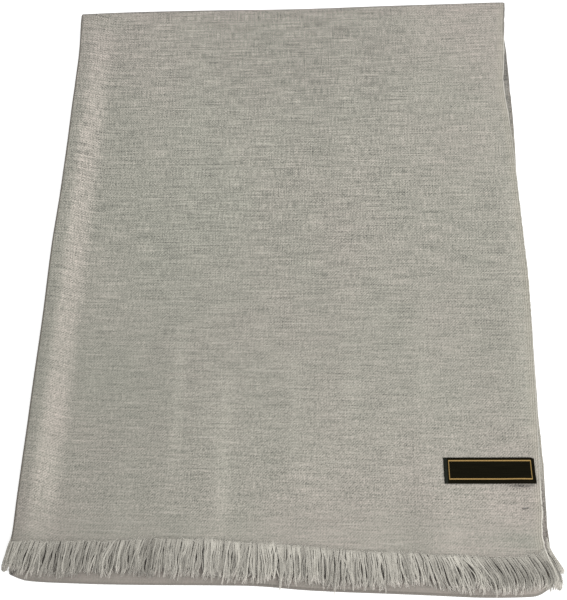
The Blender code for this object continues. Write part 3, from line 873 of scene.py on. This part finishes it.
def cloth_tones(node, points, bend, rim):
    """How much lighter, how much pinker and how crisp the cloth is at each point.

    Each is a sum of soft patches. To these come the painted light and shade of the creases and the streaks,
    the painted shade on the roll of the lengthwise fold and the painted sheen of a pale band beside it, the
    label's painted shadow, and painted shade in dark lines on the far turn and on the other plies at the
    edges.
    """
    x, y, z = points[..., 0], points[..., 1], points[..., 2]
    place = {"x": x, "y": y, "out": np.abs(x)}
    on_top = (node == "end_stretch") * below(ply_height(7) + swell(x, y) - z, 0.0004, 0.0009)
    inward = np.maximum(x - PILE_LEFT + 0.0012, 0)
    # Painted shade on the roll of the lengthwise fold, darkest at its outer edge.
    roll_shade = 0.30 * np.exp(-inward / 0.0016)
    roll_shade = roll_shade + (0.04 + 0.09 * below(y, -0.06, 0.0)) * bell(inward, 0.0045, 0.0045)
    # Painted sheen: a paler band along the lengthwise fold, where the puffed cloth catches the light.
    sheen_band = smooth(inward, 0.008, 0.016) * below(inward, 0.023, 0.035)
    sheen_band = sheen_band * (1 - 0.5 * smooth(y, 0.12, 0.19)) * (1 - 0.6 * below(y, -0.195, -0.165))
    # Painted shadow under the label's lifted lower edge.
    shadow = np.exp(-np.abs((x - 0.1600) / 0.0075) ** 3) * bell(y, -0.1604, 0.0011)
    cool = bell(x, -0.100, 0.055) * smooth(y, -0.14, -0.09) * below(y, 0.10, 0.15) * (1 - sheen_band)

    # Painted shade: a dark line on the far turn of the top stretch and along its selvedge near the far end,
    # and darker, browner lower plies where they show past its selvedge.
    far_edge_shade = 0.42 * smooth(y, 0.2196, 0.2222)
    far_edge_shade = far_edge_shade + 0.30 * bell(rim, 0, 0.0010) * smooth(y, 0.186, 0.198)
    turning = (node == "end_stretch") * smooth(z, 0.004, 0.009)
    near_part = below(y, -0.17, -0.13) * (1 + 0.6 * below(y, -0.195, -0.180)) * smooth(y, -0.214, -0.208)
    far_part = 0.5 * smooth(y, 0.08, 0.12) + 0.5 * smooth(y, 0.135, 0.165) - 0.9 * smooth(y, 0.214, 0.220)
    aside = (1 - on_top) * smooth(x, 0.165, 0.170)

    # Painted shade on the band under the fringe: a dark line where nested folds meet, darker ends, a dark
    # corner at its left, and less shade towards its right end.
    fold_gap_shade = bell(bend, 0.42, 0.16) * below(y, -0.224, -0.220) * smooth(x, -0.05, 0.0)
    corner_shade = 0.6 * (y < -0.214) * below(x, -0.1712, -0.1690)
    under = 0.30 * fold_gap_shade + 0.20 * below(y, -0.205, -0.19) + corner_shade
    under = under + 0.06 * below(x, -0.16, -0.10) - 0.16 * smooth(x, 0.12, 0.16)

    shade = patch_sum("shade", place) + CREASE_SHADE * crease_field(x, y) + shade_streak_field(x, y)
    shade = on_top * (shade + 0.31 * sheen_band - roll_shade - 0.60 * shadow)
    shade = shade - aside * (0.32 * near_part + 0.56 * far_part) - turning * far_edge_shade
    shade = shade - (node == "under_stretch") * under
    warmth = patch_sum("warmth", place) + 0.40 * sheen_band * smooth(y, -0.18, -0.13) - 0.22 * cool
    warmth = on_top * warmth + 0.4 * smooth(y, 0.205, 0.224) + aside * (0.8 * near_part + 0.5 * far_part)
    crisp = 0.93 + 0.35 * sheen_band * (x < 0) + patch_sum("crisp", place)
    return shade, warmth, crisp


class SCARF_OT_cloth(bpy.types.Operator):
    """Lays the three stretches of the folded scarf as thin sheets"""

    bl_idname = "scarf.cloth"
    bl_label = "Folded cloth"

    def execute(self, context):
        material = twill_material(context.scene.scarf_cloth)
        for node, (points, weave, rim, bend) in stretch_sheets().items():
            faces = grid_faces(*rim.shape)
            quiet = smooth(-points[..., 1], 0.190, 0.205) * (node == "under_stretch")
            shade, warmth, crisp = cloth_tones(node, points - SHIFT, bend, rim)
            marks = {"rim": rim, "bend": bend, "quiet": quiet, "shade": shade, "warmth": warmth}
            marks["crisp"] = crisp * (1 - 0.72 * quiet)
            name = "cloth_" + STRETCHES[node]["piece"]
            obj = put_mesh(name, points, faces, material, weave, marks)
            give_wall(obj, WALL)
            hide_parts(node)
        return {"FINISHED"}


def lock_lean(x):
    """How far the thread that grows at x swings sideways for each metre of its length."""
    return LEAN_LEFT + LEAN_RISE * (x - PILE_LEFT) + LEAN_STEP * smooth(x, *LEAN_STEP_X)


def fringe_yarns(row, rng):
    """The yarns of one fringe: their roots, the shares t run along them, and their middle lines.

    x = root + lean * bowed run + an S-curve + the pushes of the openings, each a tanh across the opening
    times bells across and along it; y runs from the hem to the drawn tip line; z sinks along an S-curve
    to the tips.
    """
    span = STRETCHES[row["stretch"]]
    yarns = row["yarns"]
    pitch = yarn_pitch(row)
    left = span["fold"] + PLY_RADIUS * 0.2
    root = left + pitch * (np.arange(yarns) + 0.5 + rng.uniform(-0.22, 0.22, yarns))
    calm = smooth(root, -0.1720, -0.1610) * below(root, 0.1620, 0.1680)
    swing = play(rng, root, SWING_PLAY)
    stray = rng.random(yarns) < STRAYS
    swing = (swing + stray * rng.normal(0, 0.16, yarns)) * calm
    lean = (row["lean"] * lock_lean(root) + swing)[:, None]
    t = np.linspace(0, 1, row["rings"])
    start = hem(span, root) + rng.uniform(0.0004, 0.0022, yarns)
    reach = row["length"] * (1 + drift(rng, root, 0.005, 0.045) + rng.normal(0, 0.045, yarns) * calm)
    tip_y = line_at(TIP_LINE, root + 0.021 * lean[:, 0], 0.002)
    run = ((start - tip_y) * reach)[:, None]
    bow = 1.45 + 0.60 * smooth(root, 0.10, 0.165)[:, None]
    bowed = bow * t - (bow - 1) * t**2.4
    curve = play(rng, root, CURVE_PLAY)
    phase = play(rng, root, PHASE_PLAY)[:, None]
    wave = np.sin(2 * np.pi * (0.9 * t + phase)) - np.sin(2 * np.pi * phase)
    x = root[:, None] + lean * run * bowed + (curve * calm)[:, None] * wave * smooth(t, 0, 0.5)
    gap_x, gap_wide, gap_at = row_openings(row, rng)
    aside = x[:, None] - gap_x
    push = 0.50 * gap_wide * np.tanh(aside / 0.0009) * bell(aside, 0, 0.0042)
    x = x + np.sum(push * bell(t, gap_at, 0.18), axis=1)
    y = start[:, None] - run * t
    top = ply_height(row["ply"]) + ROOT_LIFT + (row["stretch"] == "end_stretch") * swell(root, start)
    z = top[:, None] + (row["tip_z"] - top[:, None]) * smooth(t, 0.06, 1.0)
    z = z + (rng.uniform(0.0, 0.0004, yarns) + stray * 0.0003)[:, None] * smooth(t, 0.1, 0.6)
    z = z + (7 - row["ply"]) * 0.00075 * smooth(t, 0.02, 0.25) * below(t, 0.7, 1.0)
    return root, t, np.stack([x, y, z], axis=-1)


def yarn_pitch(row):
    """From one yarn of a fringe to the next."""
    span = STRETCHES[row["stretch"]]
    return (edge(span, "outer", HEM_Y) - 0.0006 - span["fold"] - PLY_RADIUS * 0.2) / row["yarns"]


def fringe_threads(row, root, t, yarn, rng):
    """The threads of each yarn: side by side at the root, wound about its middle and frayed at the tip."""
    count = row["threads"]
    pitch = yarn_pitch(row)
    each_yarn, each_thread = (len(root), 1, 1), (len(root), count, 1)
    number = np.arange(count)[:, None]
    place = (number - (count - 1) / 2) / count * pitch * 1.15
    wound = smooth(t, 0.05, 0.50) * row["wound"]
    frayed = smooth(t, 0.74, 1.0)
    angle = 2 * np.pi * (number / count + LAY * t + rng.random(each_yarn))
    wide = rng.uniform(0.24, 0.34, each_yarn) * pitch * (1 + frayed * rng.uniform(-0.2, 1.2, each_thread))
    hooked = play(rng, root, HOOK_PLAY)[:, None, None]
    curl = hooked + (rng.random(each_thread) < 0.4) * rng.normal(0, 0.0008, each_thread)
    short = rng.uniform(-0.0003, 0.0012, each_thread) * smooth(t, 0.5, 1.0)
    line = np.repeat(yarn[:, None], count, axis=1)
    line[..., 0] += place * (1 - wound) + wound * wide * np.cos(angle) + curl * frayed
    line[..., 1] += short + np.abs(curl) * 0.5 * smooth(t, 0.86, 1.0)
    line[..., 2] += wound * 0.5 * wide * np.sin(angle)
    return line.reshape(-1, len(t), 3) + SHIFT


def fringe_tones(row, root, t, rng):
    """How pale each thread of a fringe is at each ring, with the tufts at its start."""
    each_thread = (len(root), row["threads"], 1)
    even = 0.65 + 0.35 * smooth(root, -0.11, -0.04) - 0.30 * smooth(root, 0.09, 0.14)
    tone = row["tone"] + 0.04 + play(rng, root, TONE_PLAY) * even + (rng.random(len(root)) < 0.12) * 0.28
    tone = tone - 0.25 * below(root, -0.0850, -0.0450) + 0.14 * below(root, -0.1600, -0.1250)
    tone = tone - 0.24 * smooth(root, 0.105, 0.150)
    tone = tone[:, None, None] + rng.normal(0, 0.09, each_thread)
    tuft = sum(pale * bell(root, at, wide) for at, wide, pale in TUFTS)[:, None, None]
    tuft = tuft * below(t, 0.15, 0.45)
    tuft = tuft + 0.40 * smooth(t, 0.66, 0.92) * smooth(root, 0.10, 0.15)[:, None, None]
    return (tone + tuft * rng.uniform(0.3, 1.6, each_thread)).reshape(-1, len(t))


def drift(rng, x, step, size):
    """A random line over x: straight between knots one step apart, size high."""
    knots = np.arange(x.min() - step, x.max() + 2 * step, step)
    return np.interp(x, knots, rng.normal(0, size, len(knots)))


def play(rng, root, sizes):
    """How yarns differ: a slow drift along the fringe, and each yarn's own part."""
    step, slow, own = sizes
    return drift(rng, root, step, slow) + rng.normal(0, own, len(root))


def row_openings(row, rng):
    """The openings of a fringe, as columns: x, half width, place along the fringe. Some are random."""
    made = [
        rng.uniform(-0.172, 0.172, SPARE_OPENINGS),
        rng.uniform(0.00008, 0.00030, SPARE_OPENINGS) * (1.0 if row["ply"] == 7 else 1.8),
        rng.uniform(0.25, 0.85, SPARE_OPENINGS),
    ]
    drawn = np.array(OPENINGS).T if row["ply"] == 7 else np.zeros((3, 0))
    return np.concatenate([drawn, made], axis=1)[:, :, None]


def lock_lines(rng):
    """The threads of the locks: side by side along a softened line, the outer ones a little shorter."""
    t = np.linspace(0, 1, 13)
    lines, tones = [], []
    for points, threads, wide_start, wide_end, tone in LOCKS:
        points = np.array(points)
        at = np.linspace(0, 1, len(points))
        middle = np.stack([np.interp(t, at, points[:, axis]) for axis in range(3)], axis=-1)
        for _ in range(3):
            middle[1:-1] = (middle[:-2] + 2 * middle[1:-1] + middle[2:]) / 4
        across = np.linspace(-0.5, 0.5, threads)[:, None] + rng.normal(0, 0.03, (threads, 1))
        width = wide_start + (wide_end - wide_start) * smooth(t, 0.1, 0.9)
        ahead = np.gradient(middle, axis=0)
        side = np.stack([-ahead[:, 1], ahead[:, 0]], axis=-1)
        side /= np.linalg.norm(side, axis=-1, keepdims=True)
        line = np.repeat(middle[None], threads, axis=0)
        line[..., :2] += (across * width)[..., None] * side
        line[..., 2] += rng.normal(0, 0.00012, (threads, 1)) - 0.0004 * (2 * np.abs(across)) ** 2
        back = (0.9 * across**2 * wide_end + rng.uniform(0, 0.0005, (threads, 1))) * smooth(t, 0.6, 1.0)
        line[..., :2] -= back[..., None] * ahead[:, :2] / np.linalg.norm(ahead, axis=-1, keepdims=True)
        lines.append(line)
        tones.append(tone + rng.normal(0, 0.12, threads) + 0.15 * (np.abs(across[:, 0]) > 0.4))
    return np.concatenate(lines) + SHIFT, t, np.concatenate(tones)


def put_threads(name, line, radius, t, tone, material):
    """One piece of many tubes, with the tone of each or of each ring, and how near its tip a point is."""
    points, faces, uv = tubes(line, radius)
    marks = {
        "tone": np.broadcast_to(np.reshape(tone, (len(line), -1, 1)), points.shape[:3]),
        "tip": np.broadcast_to(np.reshape(t, (1, -1, 1)), points.shape[:3]),
    }
    return put_mesh(name, points, faces, material, uv, marks)


def hem_loops(rng):
    """Small loose loops along the row where the top fringe starts: arcs that rise from the cloth."""
    span = STRETCHES["end_stretch"]
    root = rng.uniform(PILE_LEFT + 0.002, 0.1690, LOOPS)
    turn = rng.normal(0, 0.9, LOOPS)[:, None]
    size = rng.uniform(0.0005, 0.0016, LOOPS)[:, None]
    t = np.linspace(0, 1, 6)
    away = rng.normal(-0.0004, 0.0008, LOOPS)[:, None]
    x = root[:, None] + size * (t - 0.5) * np.sin(turn) + 0.3 * size * np.sin(np.pi * t)
    y = hem(span, root)[:, None] + away - size * (t - 0.5) * np.cos(turn)
    z = ply_height(7) + LOOP_LIFT + swell(root, y[:, 0])[:, None] + 0.00030 * np.sin(np.pi * t)
    z = z - 0.10 * np.maximum(hem(span, root)[:, None] - y, 0)
    return np.stack([x, y, z], axis=-1) + SHIFT, t


class SCARF_OT_fringes(bpy.types.Operator):
    """Hangs the yarns of the three fringes from the cloth's ends, with loose loops at the top row"""

    bl_idname = "scarf.fringes"
    bl_label = "Fringes"

    def execute(self, context):
        look = context.scene.scarf_fringe
        material = thread_material("fringe_yarn", look)
        rng = np.random.default_rng(41)
        for name, row in FRINGES.items():
            root, t, yarn = fringe_yarns(row, rng)
            line = fringe_threads(row, root, t, yarn, rng)
            tone = fringe_tones(row, root, t, rng)
            thick = rng.uniform(0.75, 1.20, (len(line), 1))
            radius = look.radius * thick * np.interp(t, (0, 0.85, 1), (1.0, 0.9, 0.5))
            obj = put_threads(name, line, radius, t, tone, material)
            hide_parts(row["node"])
        line, t, tone = lock_lines(rng)
        thick = rng.uniform(0.9, 1.2, (len(line), 1))
        radius = look.radius * thick * np.interp(t, (0, 0.9, 1), (1, 1, 0.6))
        put_threads("fringe_locks", line, radius, t, tone, material)
        line, t = hem_loops(rng)
        radius = look.radius * 0.8 * np.ones(line.shape[:2])
        tone = rng.uniform(0.6, 1.0, len(line))
        put_threads("hem_loops", line, radius, t * 0.7, tone, material)
        return {"FINISHED"}


def stretch_sheets():
    """The surface of each stretch, by its node's name."""
    return {node: stretch_surface(node, path) for node, path in cloth_paths().items()}


class SCARF_OT_selvedges(bpy.types.Operator):
    """Runs a pale cord along both selvedges of each stretch"""

    bl_idname = "scarf.selvedges"
    bl_label = "Selvedges"

    def execute(self, context):
        material = thread_material("selvedge_yarn", context.scene.scarf_fringe)
        rng = np.random.default_rng(5)
        for node, (points, *_) in stretch_sheets().items():
            side = np.stack([points[:, 0], points[:, -1]])
            run = np.cumsum(np.linalg.norm(np.diff(side, axis=1, prepend=side[:, :1]), axis=-1), axis=1)
            wobble = np.sin(run * 920 + 2.2 * np.sin(run * 157)) * 0.00016
            side[..., 0] += wobble + 0.00010
            place_y = side[..., 1] - SHIFT[1]
            loose = smooth(-place_y, 0.150, 0.166) + smooth(place_y, 0.100, 0.120)
            top = np.array([[node == "end_stretch"], [False]]) * smooth(side[..., 2], 0.0075, 0.0090)
            thick = 0.00040 + 0.00026 * loose * top
            radius = thick * (1 + 0.16 * np.sin(run * 2100 + np.sin(run * 333)))
            # Painted light and shade: the top ply's cord paler, the lower plies' cords darker, and all
            # cords darker towards the far end, as painted shade of the dark wedge there.
            tone = 0.45 + 0.15 * top + loose * (0.68 * top - 0.28) - 0.20 * smooth(place_y, 0.090, 0.120)
            tone = tone - 0.80 * smooth(place_y, 0.184, 0.196)
            t = np.full(side.shape[1], 0.5)
            tone = tone + rng.normal(0, 0.03, tone.shape)
            put_threads("selvedge_" + STRETCHES[node]["piece"], side, radius, t, tone, material)
        return {"FINISHED"}


class SCARF_OT_label(bpy.types.Operator):
    """Sews the woven label to the top stretch"""

    bl_idname = "scarf.label"
    bl_label = "Label"

    def execute(self, context):
        look = context.scene.scarf_label
        across, down = np.meshgrid(np.linspace(-0.5, 0.5, 61), np.linspace(-0.5, 0.5, 21))
        wide = across * look.width
        deep = down * look.depth
        x = LABEL_CENTRE[0] + wide * np.cos(LABEL_TURN) - deep * np.sin(LABEL_TURN)
        y = LABEL_CENTRE[1] + wide * np.sin(LABEL_TURN) + deep * np.cos(LABEL_TURN)
        y = y - 0.0007 * smooth(across, 0.465, 0.5) * smooth(down, 0.0, 0.5)
        lift = 0.0004 * smooth(across, 0.02, 0.42) * smooth(-down, -0.05, 0.5)
        lift = lift + 0.0013 * bell(across, 0.33, 0.11) * smooth(-down, 0.05, 0.5)
        z = ply_height(7) + WALL / 2 + LABEL_LIFT + swell(x, y) + lift
        points = np.stack([x, y, z], axis=-1) + SHIFT
        weave = np.stack([wide, deep], axis=-1)
        material = label_material(look)
        obj = put_mesh("label_cloth", points, grid_faces(*x.shape), material, weave, {})
        give_wall(obj, LABEL_WALL)
        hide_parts("label")
        return {"FINISHED"}


class SCARF_OT_stage(bpy.types.Operator):
    """Lays the plain floor, and sets the lights and the camera"""

    bl_idname = "scarf.stage"
    bl_label = "Stage"

    def execute(self, context):
        side, rows = 4.0, 9
        x, y = np.meshgrid(np.linspace(-side, side, rows), np.linspace(-side, side, rows))
        points = np.stack([x, y, 0 * x - 0.00002], axis=-1)
        mesh = bpy.data.meshes.new("floor")
        mesh.from_pydata(points.reshape(-1, 3), [], grid_faces(rows, rows))
        mesh.materials.append(floor_material(context.scene.scarf_stage))
        floor = put("floor", mesh)
        world = bpy.data.worlds.new("studio")
        world.use_nodes = True
        sky = world.node_tree.nodes["Background"].inputs
        sky["Color"].default_value = (1.0, 1.0, 1.0, 1.0)
        sky["Strength"].default_value = 0.68
        context.scene.world = world
        context.scene.view_settings.view_transform = "Standard"
        for name, place, target, size, power in (
            ("softbox_far", (-0.45, 0.95, 1.10), (0.0, 0.0, 0.0), 0.8, 4.0),
            ("softbox_right", (0.70, -0.40, 0.95), (0.05, -0.05, 0.0), 0.9, 11.0),
        ):
            data = bpy.data.lights.new(name, "AREA")
            data.size = size
            data.energy = power
            put(name, data).matrix_world = facing(place, (1.0, 0.0, 0.0), np.subtract(place, target))
        data = bpy.data.cameras.new("camera")
        data.lens = CAMERA_LENS
        data.sensor_width = 36.0
        data.clip_start = 0.01
        camera = put("camera", data)
        back = np.cross(CAMERA_RIGHT, CAMERA_UP)
        camera.matrix_world = facing(np.add(CAMERA_PLACE, SHIFT), CAMERA_RIGHT, back)
        context.scene.camera = camera
        return {"FINISHED"}


def facing(place, right, back):
    """The matrix of a camera or lamp at a place, looking against back, with right to its right."""
    back = np.asarray(back, float) / np.linalg.norm(back)
    up = np.cross(back, right)
    up /= np.linalg.norm(up)
    columns = np.eye(4)
    columns[:3, 0] = np.cross(up, back)
    columns[:3, 1] = up
    columns[:3, 2] = back
    columns[:3, 3] = place
    return Matrix(columns.tolist())


class SCARF_PT_panel(bpy.types.Panel):
    """Lists the steps of the folded scarf"""

    bl_idname = "SCARF_PT_panel"
    bl_label = "Folded scarf"
    bl_space_type = "VIEW_3D"
    bl_region_type = "UI"
    bl_category = "Scarf"

    def draw(self, context):
        for group in LOOKS:
            column = self.layout.column()
            for key in LOOKS[group].__annotations__:
                column.prop(getattr(context.scene, group), key)
        for step in STEPS:
            self.layout.operator(step.bl_idname)


LOOKS = {
    "scarf_cloth": ScarfClothLook,
    "scarf_fringe": ScarfFringeLook,
    "scarf_label": ScarfLabelLook,
    "scarf_stage": ScarfStageLook,
}
STEPS = (SCARF_OT_cloth, SCARF_OT_selvedges, SCARF_OT_fringes, SCARF_OT_label, SCARF_OT_stage)


def register():
    for group, look in LOOKS.items():
        bpy.utils.register_class(look)
        setattr(bpy.types.Scene, group, bpy.props.PointerProperty(type=look))
    for step in (*STEPS, SCARF_PT_panel):
        bpy.utils.register_class(step)


def unregister():
    for step in (SCARF_PT_panel, *reversed(STEPS)):
        bpy.utils.unregister_class(step)
    for group, look in LOOKS.items():
        delattr(bpy.types.Scene, group)
        bpy.utils.unregister_class(look)


def main():
    register()
    bpy.ops.scarf.cloth()
    bpy.ops.scarf.selvedges()
    bpy.ops.scarf.fringes()
    bpy.ops.scarf.label()
    bpy.ops.scarf.stage()


if __name__ == "__main__":
    main()
